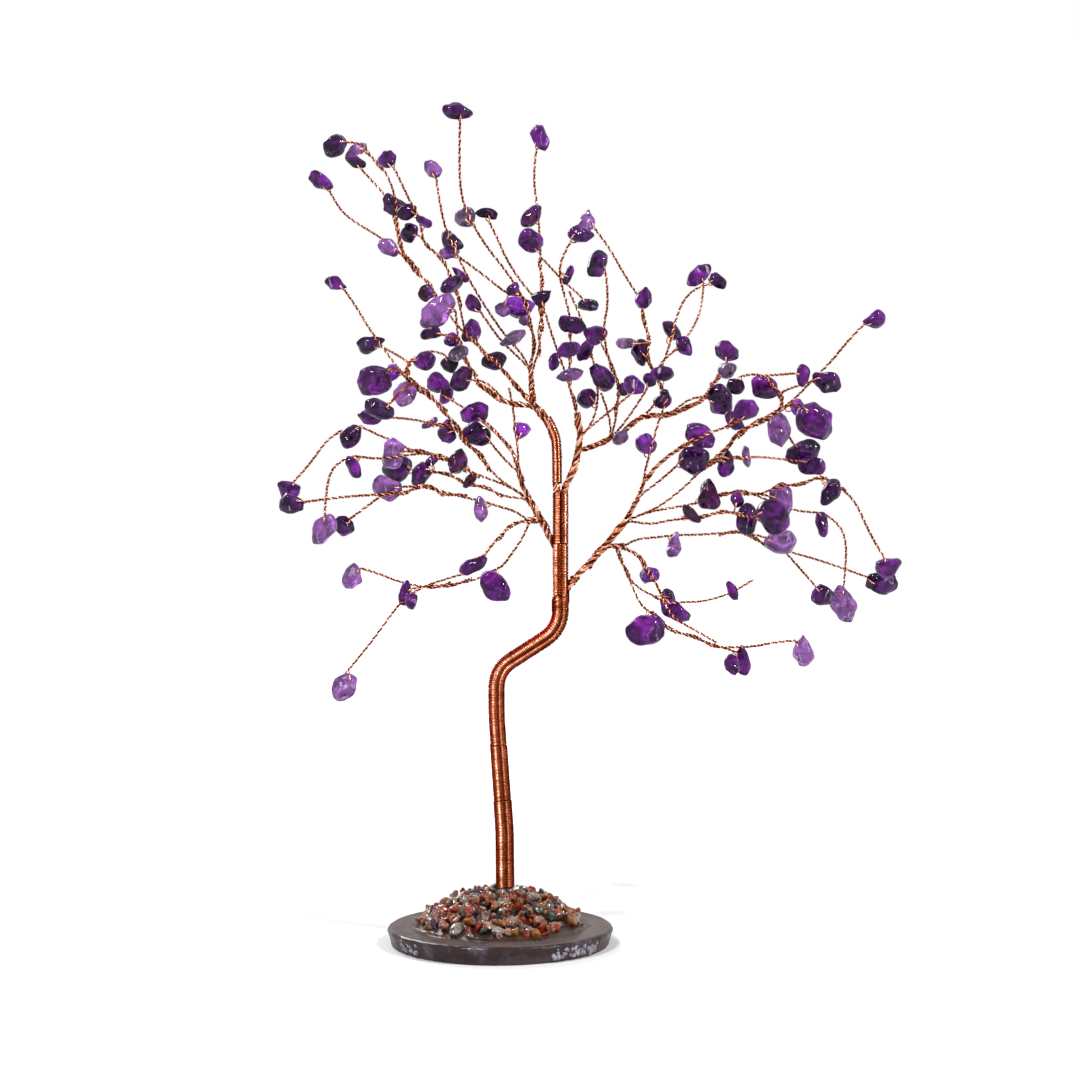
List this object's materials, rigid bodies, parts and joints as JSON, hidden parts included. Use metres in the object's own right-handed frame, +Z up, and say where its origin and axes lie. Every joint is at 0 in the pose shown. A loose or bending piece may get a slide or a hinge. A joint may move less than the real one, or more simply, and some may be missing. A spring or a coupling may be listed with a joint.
{
  "type": "gemstone tree ornament",
  "caption": "Table ornament: a small tree of twisted copper wire with purple quartz chips for leaves, its bound trunk set in a heap of gravel chips on a polished agate slice.",
  "frame": {"origin": "centre of the agate slice's underside, on the surface it stands on", "axes": "+Z up, -Y towards the viewer of the picture, +X to the viewer's right, where the trunk leans"},
  "size_m": [0.197, 0.1217, 0.2486],
  "materials": {
    "copper_wire": "bright twisted copper wire",
    "copper_wrapping": "close-wound fine copper wire",
    "amethyst": "polished translucent purple quartz",
    "agate": "polished grey agate",
    "glue": "clear set glue",
    "gravel_clear": "clear quartz chips",
    "gravel_rose": "rose quartz chips",
    "gravel_carnelian": "carnelian chips",
    "gravel_citrine": "yellow quartz chips",
    "gravel_moss": "dark green chips",
    "gravel_amethyst": "purple quartz chips"
  },
  "bodies": {
    "root": {"agate_slice": "agate", "centre_bough": "copper_wire", "crown_bough": "copper_wire", "crown_centre_stones": "amethyst", "crown_centre_wires": "copper_wire", "crown_east_stones": "amethyst", "crown_east_wires": "copper_wire", "crown_north_stones": "amethyst", "crown_north_wires": "copper_wire", "crown_shoulder_stones": "amethyst", "crown_shoulder_wires": "copper_wire", "crown_west_stones": "amethyst", "crown_west_wires": "copper_wire", "crown_wrap": "copper_wrapping", "fork_winding": "copper_wrapping", "fork_wrap": "copper_wrapping", "glue_heap": "glue", "gravel_amethyst": "gravel_amethyst", "gravel_carnelian": "gravel_carnelian", "gravel_citrine": "gravel_citrine", "gravel_clear": "gravel_clear", "gravel_moss": "gravel_moss", "gravel_rose": "gravel_rose", "left_bough": "copper_wire", "left_crest_stones": "amethyst", "left_crest_wires": "copper_wire", "left_lower_stones": "amethyst", "left_lower_wires": "copper_wire", "left_outer_stones": "amethyst", "left_outer_wires": "copper_wire", "left_upper_stones": "amethyst", "left_upper_wires": "copper_wire", "lower_wrap": "copper_wrapping", "middle_wrap": "copper_wrapping", "right_bough": "copper_wire", "right_crest_stones": "amethyst", "right_crest_wires": "copper_wire", "right_lower_stones": "amethyst", "right_lower_wires": "copper_wire", "right_outer_stones": "amethyst", "right_outer_wires": "copper_wire", "right_shoulder_stones": "amethyst", "right_shoulder_wires": "copper_wire", "right_upper_stones": "amethyst", "right_upper_wires": "copper_wire", "stem_wrap": "copper_wrapping", "upper_wrap": "copper_wrapping"}
  },
  "joints": []
}
